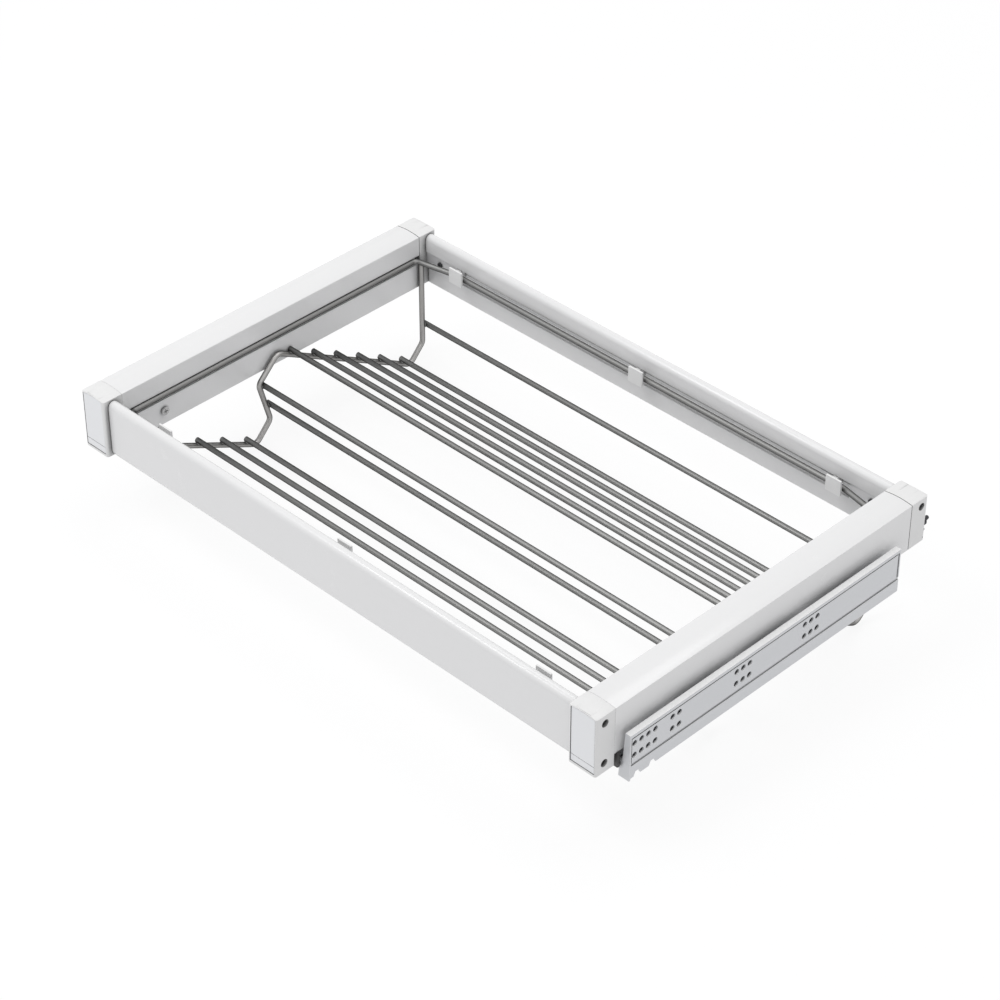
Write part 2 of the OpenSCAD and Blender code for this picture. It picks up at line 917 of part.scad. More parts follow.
module cabinet_member() {
    low = web_top + web_h;
    group_3 = last_col + 4 * grid;
    group_4 = last_col + 7 * grid;
    color("lightgray") {
        difference() {
            along_y(member_y, member_l) union() {
                translate([0, -low]) square([sheet, web_h]);
                translate([bead_depth, -bead_drop - bead_w]) square([sheet, bead_w]);
                translate([0, -web_top - sheet]) square([flange_w, sheet]);
                translate([0, floor_rise - low]) {
                    square([trough_in + trough_w, sheet]);
                    translate([trough_in, 0]) square([sheet, trough_h]);
                    translate([trough_in + trough_w - sheet, 0]) square([sheet, trough_h]);
                }
            }
            hole_rows([for (i = [0 : 3]) last_col - i * col_pitch]);
            hole_rows([for (i = [0 : 1]) last_col + grid - i * col_pitch]);
            hole_rows([for (i = [0 : 2]) group_3 - i * col_pitch]);
            hole_rows([for (i = [0 : 2]) group_4 - i * col_pitch]);
            notch(notch_1, notch_1_w);
            notch(notch_2, notch_2_w);
            web_creases();
        }
        along_y(member_y, sheet) polygon([
            [0, -web_top],
            [flange_w, -web_top],
            [end_flare, -end_flare_drop],
            [end_belly, -end_belly_drop],
            [end_toe, -low - end_low],
            [end_heel, -low - end_low],
            [0, -low]
        ]);
    }
}

// Middle member: a closed box section between the two troughs
module middle_member() {
    color("silver") along_y(member_y + middle_front, member_l - middle_short) difference() {
        translate([middle_x, -middle_bottom]) square([middle_w, middle_h]);
        translate([middle_x + middle_wall, middle_wall - middle_bottom]) {
            square([middle_w - 2 * middle_wall, middle_h - 2 * middle_wall]);
        }
    }
}

// Drawer member: a trough turned over, with a hooked tail that holds the rear block
module drawer_member() {
    right_in = trough_in + trough_w - sheet;
    color("silver") {
        difference() {
            along_y(drawer_front, drawer_l) union() {
                translate([trough_in, -drawer_under]) square([trough_w, drawer_under - rail_h]);
                translate([trough_in, -rail_h - drawer_flange_h]) square([sheet, drawer_flange_h]);
                translate([right_in, -rail_h - drawer_flange_h]) square([sheet, drawer_flange_h]);
            }
            block_at(
                [right_in - over, lever_nose_y() - nose_gap, -rail_h - drawer_flange_h - over],
                [sheet + 2 * over, nose_l + nose_gap + nose_swing, nose_top_rise() + over + nose_gap]
            );
        }
        block_at(
            [middle_x + middle_w / 2 - hook_w / 2, drawer_front + drawer_l, -drawer_under],
            [hook_w, rail_l + hook_past - drawer_front - drawer_l, drawer_under - rail_h]
        );
        translate([middle_x + middle_w / 2, hook_pin_y(), -drawer_under]) {
            cylinder(d = pin_d, h = drawer_under - rail_h + pin_h);
        }
    }
}

function lever_nose_y() = lever_y + lever_l - nose_l;
function housing_bottom() = rail_h + housing_h;
function lever_top() = housing_bottom() + lever_gap;
function nose_top_rise() = rail_h + drawer_flange_h - lever_top() + nose_h;

// Coupling under the front end of a side rail
module coupling() {
    right = inner_x - rail_wall - skirt_gap;
    left = right - housing_w;
    color([0.22, 0.21, 0.21]) difference() {
        union() {
            block_at([plate_in, plate_y, -rail_h - plate_h], [right - plate_in, plate_t, plate_h]);
            block_at([left, plate_y, -housing_bottom()], [housing_w, housing_end - plate_y, housing_h]);
            block_at(
                [lug_x(), coupling_screw_y - lug_l / 2, -rail_h - over],
                [lug_w, lug_l, lug_h + rail_wall + over]
            );
            translate([pivot_x(), pivot_y, -lever_top() - lever_t - lever_gap]) {
                cylinder(d = pivot_d, h = lever_t + 2 * lever_gap + over);
            }
        }
        block_at(
            [left - over, lever_nose_y() + nose_l / 2 - pocket_l / 2, -housing_bottom() - over],
            [pocket_w + over, pocket_l, pocket_h + over]
        );
        translate([right + over, coupling_screw_y, -coupling_screw_drop]) {
            rotate([0, -90, 0]) cylinder(d = screw_d + 2 * fit, h = housing_w + over);
        }
    }
}

function pivot_x() = inner_x - rail_wall - skirt_gap - housing_w / 2;

// Release lever: turns on the coupling's pivot, its nose in the drawer member's flange
module release_lever() {
    right = pivot_x() + lever_w / 2 - lever_gap;
    left = pivot_x() - lever_w / 2;
    z = -lever_top() - lever_t;
    back = pivot_y - lever_w / 2;
    nose_x = trough_in + trough_w - sheet - nose_gap;
    color([0.16, 0.16, 0.17]) difference() {
        union() {
            block_at([right - lever_neck, lever_y, z], [lever_neck, pivot_y - lever_y, lever_t]);
            block_at([left, back, z], [right - left, lever_y + lever_l - back, lever_t]);
            block_at([right - lever_neck, lever_y, z - grip_h], [lever_neck, grip_t, grip_h + lever_t]);
            block_at(
                [nose_x, lever_nose_y(), -lever_top() - pivot_cap],
                [nose_w, nose_l, nose_h + pivot_cap]
            );
        }
        translate([pivot_x(), pivot_y, z - over]) cylinder(d = pivot_d + 2 * fit, h = lever_t + 2 * over);
    }
}

// Cages: a plastic trough with pockets, modelled over the lower rolling gap
module cage(y) {
    x = trough_in + sheet + cage_side_gap;
    w = trough_w - 2 * sheet - 2 * cage_side_gap;
    side = roll_gap - 2 * cage_side_gap;
    base = middle_bottom + (roll_gap + cage_t) / 2;
    slot_x = middle_x + middle_w / 2 - roller_l / 2 - roller_gap;
    color("ivory") difference() {
        union() {
            block_at([x, y, -base], [w, cage_l, cage_t]);
            block_at([x, y, -base], [side, cage_l, cage_side_h]);
            block_at([x + w - side, y, -base], [side, cage_l, cage_side_h]);
        }
        for (i = [0 : rollers - 1]) {
            block_at(
                [slot_x, roll_y(y, i, rollers) - roller_d / 2 - roller_gap, -base - over],
                [roller_l + 2 * roller_gap, roller_d + 2 * roller_gap, cage_t + 2 * over]
            );
        }
        for (i = [0 : balls - 1]) {
            translate([x - over, roll_y(y, i, balls), -ball_drop()]) {
                rotate([0, 90, 0]) cylinder(d = roller_d + 2 * roller_gap, h = w + 2 * over);
            }
        }
    }
}

function roll_y(y, i, count) = y + roll_margin + i * (cage_l - 2 * roll_margin) / (count - 1);
function ball_drop() = middle_bottom - (cage_side_h - cage_t) / 3;

module rolling_parts(y) {
    color("silver") {
        for (i = [0 : rollers - 1]) {
            translate([middle_x + middle_w / 2, roll_y(y, i, rollers), -middle_bottom - roll_gap / 2]) {
                rotate([0, 90, 0]) cylinder(d = roller_d, h = roller_l, center = true);
            }
        }
        for (i = [0 : balls - 1], x = [middle_x - roll_gap / 2, middle_x + middle_w + roll_gap / 2]) {
            translate([x, roll_y(y, i, balls), -ball_drop()]) sphere(d = roller_d);
        }
    }
}

// The upper rolling gap is the lower one turned over about the middle member's centre line
module upper_gap() {
    translate([0, 0, -middle_bottom - middle_top]) mirror([0, 0, 1]) children();
}

module lower_cage() {
    cage(lower_cage_y);
}

module upper_cage() {
    upper_gap() cage(upper_cage_y);
}

module lower_rollers() {
    rolling_parts(lower_cage_y);
}

module upper_rollers() {
    upper_gap() rolling_parts(upper_cage_y);
}

// One call for each node
left_side() side_rail();  // left_rail
right_side() side_rail();  // right_rail
front_rail();
rear_rail();
left_side() front_corner();  // front_left_corner
right_side() front_corner();  // front_right_corner
left_side() rear_corner();  // rear_left_corner
right_side() rear_corner();  // rear_right_corner
left_side() front_cap();  // front_left_cap
right_side() front_cap();  // front_right_cap
side_rail_screws();
cross_rail_screws();
left_side() front_connector();  // front_left_connector
right_side() front_connector();  // front_right_connector
left_side() rear_connector();  // rear_left_connector
right_side() rear_connector();  // rear_right_connector
connector_screws();
coupling_screws();
left_side() rear_buffer();  // left_rear_buffer
right_side() rear_buffer();  // right_rear_buffer
buffer_screws();
perimeter_wire();
left_side() side_wire();  // left_side_wire
right_side() side_wire();  // right_side_wire
rear_shelf_wires();
front_shelf_wires();
step_wires();
rear_stop_wire();
front_clips();
rear_clips();
left_side() coupling();  // left_coupling
right_side() coupling();  // right_coupling
left_side() release_lever();  // left_release_lever
right_side() release_lever();  // right_release_lever
left_side() drawer_member();  // left_drawer_member
right_side() drawer_member();  // right_drawer_member
left_side() middle_member();  // left_middle_member
right_side() middle_member();  // right_middle_member
left_side() cabinet_member();  // left_cabinet_member
right_side() cabinet_member();  // right_cabinet_member
left_side() lower_cage();  // left_lower_cage
right_side() lower_cage();  // right_lower_cage
left_side() upper_cage();  // left_upper_cage
right_side() upper_cage();  // right_upper_cage
left_side() lower_rollers();  // left_lower_rollers
right_side() lower_rollers();  // right_lower_rollers
left_side() upper_rollers();  // left_upper_rollers
right_side() upper_rollers();  // right_upper_rollers
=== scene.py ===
import bpy
import bmesh
import math
from mathutils import Matrix, Vector


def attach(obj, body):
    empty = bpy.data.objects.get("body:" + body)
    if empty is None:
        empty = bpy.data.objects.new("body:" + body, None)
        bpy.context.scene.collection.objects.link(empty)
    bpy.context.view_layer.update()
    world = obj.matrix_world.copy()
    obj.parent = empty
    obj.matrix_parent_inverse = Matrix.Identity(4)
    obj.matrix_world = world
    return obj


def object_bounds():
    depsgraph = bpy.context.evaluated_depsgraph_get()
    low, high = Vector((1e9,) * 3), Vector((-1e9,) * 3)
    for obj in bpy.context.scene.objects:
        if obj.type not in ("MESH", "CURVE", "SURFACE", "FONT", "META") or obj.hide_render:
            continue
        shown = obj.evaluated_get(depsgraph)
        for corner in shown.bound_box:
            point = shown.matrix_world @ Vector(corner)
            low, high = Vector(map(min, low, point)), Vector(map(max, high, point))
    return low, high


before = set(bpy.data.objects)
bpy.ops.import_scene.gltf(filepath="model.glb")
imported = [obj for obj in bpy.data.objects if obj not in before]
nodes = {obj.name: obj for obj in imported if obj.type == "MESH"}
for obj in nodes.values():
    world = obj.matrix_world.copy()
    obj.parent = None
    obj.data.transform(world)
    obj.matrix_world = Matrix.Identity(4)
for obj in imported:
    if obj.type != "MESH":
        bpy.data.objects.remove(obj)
cadLow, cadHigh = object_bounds()
mm = 0.001

# The CAD model's zero lies at a screw group: these lead from the front joint and the rails' top edge
groupY = 26.795
groupDrop = 47.85
openingWidth = 740.0


def place(x, y, drop):
    return Vector((x * mm, (y - groupY) * mm, (groupDrop + drop) * mm))


# Camera at the photograph's angle
cameraView = {
    "place": (2.0752, -1.5247, 1.80425),  # metres
    "azimuth": 44.87,  # degrees
    "elevation": 37.17,
    "lens": 109.0,  # mm
    "sensor": 36.0,
    "near": 0.05,  # metres
    "far": 50.0,
}


def makeCamera(v):
    a, e = math.radians(v["azimuth"]), math.radians(v["elevation"])
    back = Vector((math.sin(a) * math.cos(e), -math.cos(a) * math.cos(e), math.sin(e)))
    data = bpy.data.cameras.new("camera")
    data.lens = v["lens"]
    data.sensor_width = v["sensor"]
    data.clip_start, data.clip_end = v["near"], v["far"]
    cam = bpy.data.objects.new("camera", data)
    cam.location = v["place"]
    cam.rotation_mode = "QUATERNION"
    cam.rotation_quaternion = (-back).to_track_quat("-Z", "Y")
    bpy.context.scene.collection.objects.link(cam)
    bpy.context.scene.camera = cam


makeCamera(cameraView)
print("camera ready")


# Node groups shared by the materials
def newGroup(name, inputs, outputs):
    g = bpy.data.node_groups.new(name, "ShaderNodeTree")
    for n, kind, value in inputs:
        s = g.interface.new_socket(n, in_out="INPUT", socket_type="NodeSocket" + kind)
        s.default_value = value
    for n, kind in outputs:
        g.interface.new_socket(n, in_out="OUTPUT", socket_type="NodeSocket" + kind)
    return g, g.nodes.new("NodeGroupInput"), g.nodes.new("NodeGroupOutput")


def calc(tree, op, a, b):
    n = tree.nodes.new("ShaderNodeMath")
    n.operation = op
    for i, x in enumerate((a, b)):
        if isinstance(x, (int, float)):
            n.inputs[i].default_value = x
        else:
            tree.links.new(x, n.inputs[i])
    return n.outputs[0]


def noise(tree, vector, scale, detail):
    n = tree.nodes.new("ShaderNodeTexNoise")
    n.inputs["Detail"].default_value = detail
    tree.links.new(vector, n.inputs["Vector"])
    if isinstance(scale, (int, float)):
        n.inputs["Scale"].default_value = scale
    else:
        tree.links.new(scale, n.inputs["Scale"])
    return n.outputs["Fac"]


# A surface's tone is three noises added, each with its scale in a metre, its detail and its share
toneMix = {
    "fineDetail": 3,  # its scale comes from the material
    "fineShare": 0.35,
    "broadScale": 9,
    "broadDetail": 4,
    "broadShare": 0.4,
    "cloudScale": 60,
    "cloudDetail": 2,
    "cloudShare": 0.25,
    "middle": 0.5,  # the tone that changes nothing
    "bumpHeight": 0.0002,  # metres
}


def surfaceGroup(v):
    g, i, o = newGroup(
        "surfaceDetail",
        [
            ("Grain Scale", "Float", 900.0),
            ("Stretch", "Vector", (1, 1, 1)),
            ("Tone Spread", "Float", 0.02),
            ("Roughness", "Float", 0.3),
            ("Roughness Spread", "Float", 0.08),
            ("Bump", "Float", 0.05),
        ],
        [("Tone", "Float"), ("Roughness", "Float"), ("Normal", "Vector")],
    )
    t = g.links.new
    coord = g.nodes.new("ShaderNodeTexCoord")
    stretched = g.nodes.new("ShaderNodeVectorMath")
    stretched.operation = "MULTIPLY"
    t(coord.outputs["Object"], stretched.inputs[0])
    t(i.outputs["Stretch"], stretched.inputs[1])
    fine = noise(g, stretched.outputs[0], i.outputs["Grain Scale"], v["fineDetail"])
    broad = noise(g, stretched.outputs[0], v["broadScale"], v["broadDetail"])
    cloud = noise(g, stretched.outputs[0], v["cloudScale"], v["cloudDetail"])
    fineTone = calc(g, "MULTIPLY", fine, v["fineShare"])
    both = calc(g, "ADD", fineTone, calc(g, "MULTIPLY", broad, v["broadShare"]))
    mixed = calc(g, "ADD", both, calc(g, "MULTIPLY", cloud, v["cloudShare"]))
    offset = calc(g, "SUBTRACT", mixed, v["middle"])
    t(calc(g, "ADD", calc(g, "MULTIPLY", offset, i.outputs["Tone Spread"]), 1), o.inputs["Tone"])
    spread = calc(g, "MULTIPLY", offset, i.outputs["Roughness Spread"])
    t(calc(g, "ADD", spread, i.outputs["Roughness"]), o.inputs["Roughness"])
    bump = g.nodes.new("ShaderNodeBump")
    bump.inputs["Distance"].default_value = v["bumpHeight"]
    t(i.outputs["Bump"], bump.inputs["Strength"])
    t(fine, bump.inputs["Height"])
    t(bump.outputs[0], o.inputs["Normal"])
    return g


effects = {
    "edgeHighlightRadius": 0.0006,  # metres
    "edgeHighlightSamples": 4,
    "edgeHighlightGain": 3,  # how fast the painted edge highlight grows towards the edge
    "shadeSamples": 6,
    "darkest": 0.04,
    "litTopStart": 0.5,  # height of the normal at which a face counts as looking up
    "litTopGain": 3,
    "paintedRimShadeBlend": 0.5,
}


# Painted highlight: where the rounded normal leaves the true one, the edge is given a lighter colour that
# stands in for the light a rounded edge catches
def edgeHighlightGroup(v):
    g, i, o = newGroup(
        "paintedEdgeHighlight", [("Radius", "Float", v["edgeHighlightRadius"]), ("Amount", "Float", 0.5)], [("Edge", "Float")]
    )
    t = g.links.new
    geo = g.nodes.new("ShaderNodeNewGeometry")
    rounded = g.nodes.new("ShaderNodeBevel")
    rounded.samples = v["edgeHighlightSamples"]
    t(i.outputs["Radius"], rounded.inputs["Radius"])
    dot = g.nodes.new("ShaderNodeVectorMath")
    dot.operation = "DOT_PRODUCT"
    t(geo.outputs["Normal"], dot.inputs[0])
    t(rounded.outputs[0], dot.inputs[1])
    away = calc(g, "MULTIPLY", calc(g, "SUBTRACT", 1, dot.outputs["Value"]), v["edgeHighlightGain"])
    t(calc(g, "MINIMUM", calc(g, "MULTIPLY", away, i.outputs["Amount"]), 1), o.inputs["Edge"])
    return g


# Painted shade: near ambient occlusion darkens the colour in seams, recesses and round screw heads
def creaseGroup(v):
    g, i, o = newGroup(
        "creaseShade", [("Reach", "Float", 0.003), ("Depth", "Float", 0.6)], [("Shade", "Float")]
    )
    t = g.links.new
    near = g.nodes.new("ShaderNodeAmbientOcclusion")
    near.samples = v["shadeSamples"]
    t(i.outputs["Reach"], near.inputs["Distance"])
    lost = calc(g, "MULTIPLY", calc(g, "SUBTRACT", 1, near.outputs["AO"]), i.outputs["Depth"])
    t(calc(g, "MAXIMUM", calc(g, "SUBTRACT", 1, lost), v["darkest"]), o.inputs["Shade"])
    return g


# Painted light: faces that look up, such as a flange, are given a lighter colour than the upright ones,
# standing in for the light that falls on them from above
def paintedTopLightGroup(v):
    g, i, o = newGroup("paintedTopLight", [("Start", "Float", v["litTopStart"])], [("Up", "Float")])
    t = g.links.new
    geo = g.nodes.new("ShaderNodeNewGeometry")
    parts = g.nodes.new("ShaderNodeSeparateXYZ")
    t(geo.outputs["Normal"], parts.inputs[0])
    over = calc(g, "SUBTRACT", parts.outputs["Z"], i.outputs["Start"])
    steep = calc(g, "MULTIPLY", over, v["litTopGain"])
    t(calc(g, "MAXIMUM", calc(g, "MINIMUM", steep, 1), 0), o.inputs["Up"])
    return g


surface = surfaceGroup(toneMix)
edges = edgeHighlightGroup(effects)
creases = creaseGroup(effects)
up = paintedTopLightGroup(effects)


def addGroup(tree, group, values):
    n = tree.nodes.new("ShaderNodeGroup")
    n.node_tree = group
    for k, v in values.items():
        n.inputs[k].default_value = v
    return n


def mixColour(tree, kind, factor, a, b):
    n = tree.nodes.new("ShaderNodeMix")
    n.data_type = "RGBA"
    n.blend_type = kind
    for name, x in (("Factor", factor), ("A", a), ("B", b)):
        if isinstance(x, (int, float)):
            n.inputs[name].default_value = x
        elif isinstance(x, tuple):
            n.inputs[name].default_value = (*x, 1)
        else:
            tree.links.new(x, n.inputs[name])
    return n.outputs["Result"]


def makeMaterial(name, look):
    m = bpy.data.materials.new(name)
    m.use_nodes = True
    tree = m.node_tree
    tree.nodes.clear()
    t = tree.links.new
    out = tree.nodes.new("ShaderNodeOutputMaterial")
    p = tree.nodes.new("ShaderNodeBsdfPrincipled")
    p.inputs["Metallic"].default_value = look.get("metal", 0.0)
    p.inputs["Coat Weight"].default_value = look.get("coat", 0.0)
    p.inputs["Coat Roughness"].default_value = look.get("coatRough", 0.1)
    p.inputs["Specular Tint"].default_value = (*look.get("tint", (1, 1, 1)), 1)
    detail = addGroup(tree, surface, {
        "Grain Scale": look["grain"],
        "Stretch": look.get("stretch", (1, 1, 1)),
        "Tone Spread": look["tone"],
        "Roughness": look["rough"],
        "Roughness Spread": look.get("roughSpread", 0.1),
        "Bump": look["bump"],
    })
    edgeHighlight = addGroup(tree, edges, {"Radius": effects["edgeHighlightRadius"], "Amount": look.get("edge", 0.4)})
    paintedCreaseShade = addGroup(tree, creases, {
        "Reach": look.get("reach", 0.003),
        "Depth": look.get("paintedCreaseShade", 0.75),
    })
    edgeHighlightColour = look.get("edgeHighlightColour", look["colour"])
    paintedLightColour = mixColour(tree, "MIX", edgeHighlight.outputs["Edge"], look["colour"], edgeHighlightColour)
    if "top" in look:
        topLightMask = addGroup(tree, up, {"Start": effects["litTopStart"]})
        paintedLightColour = mixColour(tree, "MIX", topLightMask.outputs["Up"], paintedLightColour, look["top"])
    toned = mixColour(tree, "MULTIPLY", 1.0, paintedLightColour, detail.outputs["Tone"])
    shaded = mixColour(tree, "MULTIPLY", 1.0, toned, paintedCreaseShade.outputs["Shade"])
    # Painted shade: the colour goes towards the dark rim colour where the face turns away from the camera
    if "paintedRimShade" in look:
        facing = tree.nodes.new("ShaderNodeLayerWeight")
        facing.inputs["Blend"].default_value = effects["paintedRimShadeBlend"]
        shaded = mixColour(tree, "MIX", facing.outputs["Facing"], shaded, look["paintedRimShade"])
    t(shaded, p.inputs["Base Color"])
    t(detail.outputs["Roughness"], p.inputs["Roughness"])
    t(detail.outputs["Normal"], p.inputs["Normal"])
    t(p.outputs[0], out.inputs[0])
    return m


# Colours are linear, lengths are metres; grain is how many specks lie in a metre
# Painted light in the looks: the edge colour is a painted edge highlight, top is a lighter colour painted on
# faces that look up, rim is a painted shade towards grazing edges, and reach and the crease depth set the
# painted shade in creases
looks = {
    "railWhite": {"colour": (0.79, 0.79, 0.795), "rough": 0.26, "tone": 0.04, "grain": 1400, "bump": 0.04,
                  "coat": 0.3, "coatRough": 0.18, "edgeHighlightColour": (0.88, 0.88, 0.88), "reach": 0.003,
                  "paintedCreaseShade": 0.7},
    "blockWhite": {"colour": (0.78, 0.78, 0.78), "rough": 0.36, "tone": 0.05, "grain": 1500, "bump": 0.05,
                   "edgeHighlightColour": (0.88, 0.88, 0.88), "reach": 0.009, "paintedCreaseShade": 1.35},
    "capGrey": {"colour": (0.84, 0.85, 0.87), "rough": 0.42, "tone": 0.05, "grain": 1800, "bump": 0.06,
                "edgeHighlightColour": (0.90, 0.91, 0.92), "reach": 0.002, "paintedCreaseShade": 1.3},
    "clipWhite": {"colour": (0.80, 0.80, 0.80), "rough": 0.3, "tone": 0.04, "grain": 1500, "bump": 0.05,
                  "edgeHighlightColour": (0.88, 0.88, 0.88), "edge": 0.8},
    # Painted highlight: the side carriers use the cross wires' look with a lighter colour, standing in for
    # the highlights they catch
    "carrierHighlightGrey": {"colour": (0.50, 0.49, 0.48), "metal": 0.9, "rough": 0.36, "roughSpread": 0.06,
                    "tone": 0.08, "grain": 700, "bump": 0.012, "edge": 0.0,
                    "paintedRimShade": (0.015, 0.015, 0.014), "tint": (0.1, 0.1, 0.1), "reach": 0.005},
    "wireGrey": {"colour": (0.33, 0.33, 0.325), "metal": 0.85, "rough": 0.5, "roughSpread": 0.06,
                 "tone": 0.08, "grain": 700, "bump": 0.012, "edge": 0.0,
                 "paintedRimShade": (0.015, 0.015, 0.014), "tint": (0.1, 0.1, 0.1), "reach": 0.005},
    "memberGrey": {"colour": (0.67, 0.68, 0.70), "metal": 0.15, "rough": 0.34, "tone": 0.07, "grain": 900,
                   "stretch": (1, 0.06, 1), "bump": 0.05, "edgeHighlightColour": (0.90, 0.91, 0.92), "edge": 0.8,
                   "top": (0.95, 0.95, 0.95), "reach": 0.004, "paintedCreaseShade": 1.2},
    "zincSteel": {"colour": (0.50, 0.51, 0.53), "metal": 0.85, "rough": 0.34, "tone": 0.2, "grain": 260,
                  "stretch": (1, 0.5, 1), "bump": 0.06, "edgeHighlightColour": (0.64, 0.65, 0.66)},
    "screwSteel": {"colour": (0.56, 0.56, 0.56), "metal": 0.9, "rough": 0.28, "tone": 0.14, "grain": 3000,
                   "bump": 0.08, "edgeHighlightColour": (0.74, 0.74, 0.74), "edge": 0.8, "reach": 0.004,
                   "paintedCreaseShade": 1.4},
    "screwDark": {"colour": (0.05, 0.05, 0.055), "metal": 0.6, "rough": 0.36, "tone": 0.2, "grain": 3000,
                  "bump": 0.08, "edgeHighlightColour": (0.2, 0.2, 0.2)},
    "barGrey": {"colour": (0.70, 0.70, 0.71), "metal": 0.25, "rough": 0.4, "tone": 0.08, "grain": 1600,
                "stretch": (0.1, 1, 1), "bump": 0.06},
    "plasticDark": {"colour": (0.05, 0.047, 0.047), "rough": 0.46, "tone": 0.2, "grain": 2600, "bump": 0.16,
                    "edgeHighlightColour": (0.1, 0.1, 0.1)},
    "rubberDark": {"colour": (0.014, 0.014, 0.02), "rough": 0.5, "tone": 0.2, "grain": 2600, "bump": 0.16},
    "nylon": {"colour": (0.62, 0.59, 0.50), "rough": 0.45, "tone": 0.06, "grain": 1800, "bump": 0.08},
}
made = {k: makeMaterial(k, v) for k, v in looks.items()}
print("materials ready:", len(made))


# Carried-over nodes: material and bevel width in mm
finish = {
    "railWhite": (0.5, ["left_rail", "right_rail", "front_rail", "rear_rail"]),
    "blockWhite": (0.8, ["front_left_corner", "front_right_corner", "rear_left_corner", "rear_right_corner"]),
    "capGrey": (0.25, ["front_left_cap", "front_right_cap"]),
    "clipWhite": (0.45, ["front_clips", "rear_clips"]),
    "wireGrey": (0.35, ["rear_shelf_wires", "front_shelf_wires", "step_wires", "rear_stop_wire",
                        "perimeter_wire"]),
    "carrierHighlightGrey": (0.35, ["left_side_wire", "right_side_wire"]),
    "memberGrey": (0.25, ["left_cabinet_member", "right_cabinet_member"]),
    "zincSteel": (0.3, ["left_drawer_member", "right_drawer_member", "left_middle_member",
                        "right_middle_member"]),
    "screwSteel": (0.15, ["side_rail_screws", "cross_rail_screws", "coupling_screws", "left_lower_rollers",
                          "right_lower_rollers", "left_upper_rollers", "right_upper_rollers"]),
    "screwDark": (0.15, ["connector_screws", "buffer_screws"]),
    "barGrey": (0.3, ["front_left_connector", "front_right_connector", "rear_left_connector",
                      "rear_right_connector"]),
    "plasticDark": (0.3, ["left_coupling", "right_coupling", "left_release_lever", "right_release_lever"]),
    "rubberDark": (0.35, ["left_rear_buffer", "right_rear_buffer"]),
    "nylon": (0.2, ["left_lower_cage", "right_lower_cage", "left_upper_cage", "right_upper_cage"]),
}
unbevelled = {"perimeter_wire", "left_side_wire", "right_side_wire", "left_lower_rollers",
              "right_lower_rollers", "left_upper_rollers", "right_upper_rollers"}
bevels = {
    "segments": 3,
    "sharpest": 32,  # degrees; flatter edges stay as they are
    "merge": 0.01,  # mm
}


def dress(name, material, width, v):
    o = nodes[name]
    o.data.materials.clear()
    o.data.materials.append(made[material])
    if name in unbevelled:
        return
    weld = o.modifiers.new("weld", "WELD")
    weld.merge_threshold = v["merge"] * mm
    b = o.modifiers.new("bevel", "BEVEL")
    b.width = width * mm
    b.segments = v["segments"]
    b.limit_method = "ANGLE"
    b.angle_limit = math.radians(v["sharpest"])
    b.harden_normals = True


for material, (width, names) in finish.items():
    for n in names:
        dress(n, material, width, bevels)
print("nodes dressed")

# Welds where the cross wires lie on the side carriers
welds = {
    "wire": 6.0,
    "bite": 1.0,  # how far a wire sinks into the carrier
    "long": 3.6,  # reach of a weld's metal from its middle
    "high": 1.5,
    "carrierX": 50.85,
    "rounds": 3,  # how often the ball's faces are divided
    "lumps": 0.06,  # share of a weld's size by which its skin goes in and out
    "lumpTurn": 12.9,
}
carrier = {  # depth and drop of the points between the bends
    "foot": (394.2, -154.4), "peak": (203.3, -46.6), "nose": (175.3, -74.1), "step": (189.0, -124.1),
    "toe": (167.5, -146.8), "front": (4.8, -65.8), "leg": (413.9, -111.1),
}
rows = [  # from, to, side, first, pitch, count
    ("foot", "peak", 1, 15.1, 36.6, 6),
    ("toe", "front", 1, 14.8, 36.6, 4),
    ("nose", "step", -1, 3.5, 29.0, 2),
]


def weldPoints(v):
    points = []
    for start, end, side, first, pitch, count in rows:
        a, b = Vector(carrier[start]), Vector(carrier[end])
        along = (b - a).normalized()
        out = side * Vector((along.y, -along.x))
        for i in range(count):
            points.append((a + along * (first + pitch * i) + out * (v["wire"] - v["bite"]) / 2, out))
    leg = Vector(carrier["leg"])
    points.append((leg + Vector((v["wire"] - v["bite"], 0)) / 2, Vector((1, 0))))
    return points


def makeWelds(v):
    b = bmesh.new()
    for x in (v["carrierX"], openingWidth - v["carrierX"]):
        for at, out in weldPoints(v):
            middle = Matrix.Translation(place(x, at.x, at.y))
            turned = Vector((0, out.x, out.y)).to_track_quat("Z", "X").to_matrix().to_4x4()
            size = Matrix.Diagonal((v["long"] * mm, v["long"] * mm, v["high"] * mm, 1))
            ball = bmesh.ops.create_icosphere(
                b, subdivisions=v["rounds"], radius=1, matrix=middle @ turned @ size
            )
            for k, q in enumerate(ball["verts"]):
                q.co += (q.co - middle.translation) * v["lumps"] * math.sin(k * v["lumpTurn"])
    bmesh.ops.recalc_face_normals(b, faces=b.faces)
    for f in b.faces:
        f.smooth = True
    mesh = bpy.data.meshes.new("welds")
    b.to_mesh(mesh)
    b.free()
    mesh.materials.append(made["wireGrey"])
    o = bpy.data.objects.new("welds", mesh)
    bpy.context.scene.collection.objects.link(o)
    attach(o, "rack")


makeWelds(welds)
print("welds ready")

# Floor, backdrop and light
studio = {
    "floorDrop": 2.0,  # mm below the part
    "floorSize": 30.0,  # m
    "shadow": 0.16,  # share of the floor's brightness that takes shadow
    "bounce": (0.80, 0.80, 0.81),
    "world": 0.67,
    "middle": (0.37, 0.2),  # of the floor, and where the lamps aim, in metres
    "glow": 1.04,
    "cells": 4,
    "grainScale": 40,  # patches in a metre
    "grainDetail": 2,
    "grainTone": 1.02,
}


# One for what the camera sees, straight on or in metal, and nothing for the light that reaches the rack
def seenRays(tree):
    path = tree.nodes.new("ShaderNodeLightPath")
    straight = calc(tree, "ADD", path.outputs["Is Camera Ray"], path.outputs["Is Glossy Ray"])
    return calc(tree, "MINIMUM", calc(tree, "ADD", straight, path.outputs["Is Transmission Ray"]), 1)


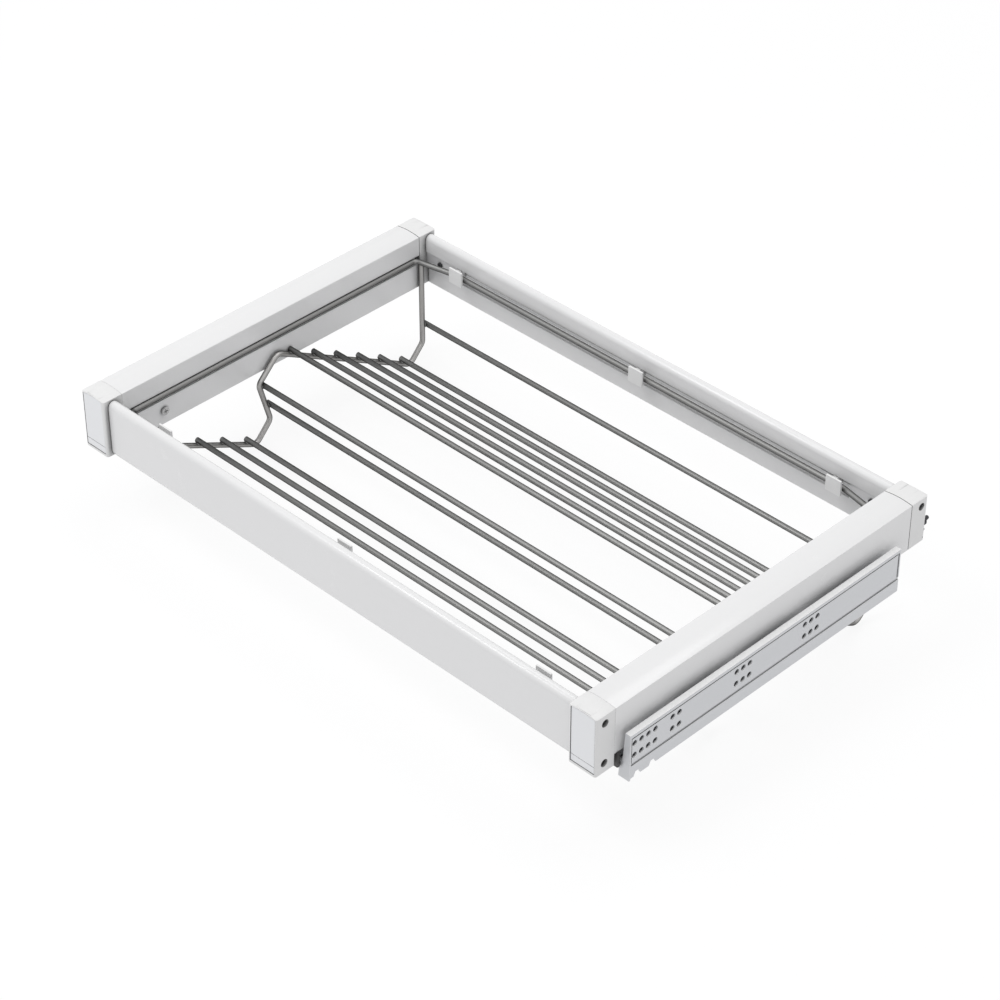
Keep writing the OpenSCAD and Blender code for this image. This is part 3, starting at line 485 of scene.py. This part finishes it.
def makeFloor(v):
    m = bpy.data.materials.new("floorWhite")
    m.use_nodes = True
    tree = m.node_tree
    tree.nodes.clear()
    t = tree.links.new
    out = tree.nodes.new("ShaderNodeOutputMaterial")
    coord = tree.nodes.new("ShaderNodeTexCoord")
    grain = noise(tree, coord.outputs["Object"], v["grainScale"], v["grainDetail"])
    pale = tuple(c * v["grainTone"] for c in v["bounce"])
    lit = tree.nodes.new("ShaderNodeBsdfDiffuse")
    t(mixColour(tree, "MIX", grain, v["bounce"], pale), lit.inputs["Color"])
    glow = tree.nodes.new("ShaderNodeEmission")
    mix = tree.nodes.new("ShaderNodeMixShader")
    t(calc(tree, "MULTIPLY", seenRays(tree), 1 - v["shadow"]), mix.inputs[0])
    t(lit.outputs[0], mix.inputs[1])
    t(glow.outputs[0], mix.inputs[2])
    glow.inputs["Color"].default_value = (1, 1, 1, 1)
    glow.inputs["Strength"].default_value = v["glow"]
    side = tree.nodes.new("ShaderNodeNewGeometry")
    below = tree.nodes.new("ShaderNodeMixShader")  # clear from below, so that the underside can be seen
    t(side.outputs["Backfacing"], below.inputs[0])
    t(mix.outputs[0], below.inputs[1])
    t(tree.nodes.new("ShaderNodeBsdfTransparent").outputs[0], below.inputs[2])
    t(below.outputs[0], out.inputs[0])
    b = bmesh.new()
    bmesh.ops.create_grid(b, x_segments=v["cells"], y_segments=v["cells"], size=v["floorSize"] / 2)
    bmesh.ops.translate(b, verts=b.verts, vec=(*v["middle"], cadLow.z - v["floorDrop"] * mm))
    mesh = bpy.data.meshes.new("floor")
    b.to_mesh(mesh)
    b.free()
    mesh.materials.append(m)
    floor = bpy.data.objects.new("floor", mesh)
    bpy.context.scene.collection.objects.link(floor)


def makeWorld(v):
    w = bpy.data.worlds.new("studio")
    bpy.context.scene.world = w
    w.use_nodes = True
    tree = w.node_tree
    bg = tree.nodes["Background"]
    shown = calc(tree, "MULTIPLY", seenRays(tree), 1 - v["world"])
    tree.links.new(calc(tree, "ADD", shown, v["world"]), bg.inputs["Strength"])
    bg.inputs["Color"].default_value = (1, 1, 1, 1)


lights = {  # place, size in metres, power in watts
    "key": ((-0.6, -1.2, 2.6), (1.6, 1.2), 25),
    "top": ((0.5, 0.9, 2.8), (2.2, 1.4), 19),
}


def makeLight(name, start, size, power):
    data = bpy.data.lights.new(name, "AREA")
    data.shape = "RECTANGLE"
    data.size, data.size_y = size
    data.energy = power
    o = bpy.data.objects.new(name, data)
    o.location = start
    o.rotation_mode = "QUATERNION"
    aim = Vector((*studio["middle"], 0))
    o.rotation_quaternion = (aim - Vector(start)).to_track_quat("-Z", "Y")
    bpy.context.scene.collection.objects.link(o)


makeFloor(studio)
makeWorld(studio)
for name, values in lights.items():
    makeLight(name, *values)
bpy.context.scene.view_settings.view_transform = "Standard"
print("studio ready")
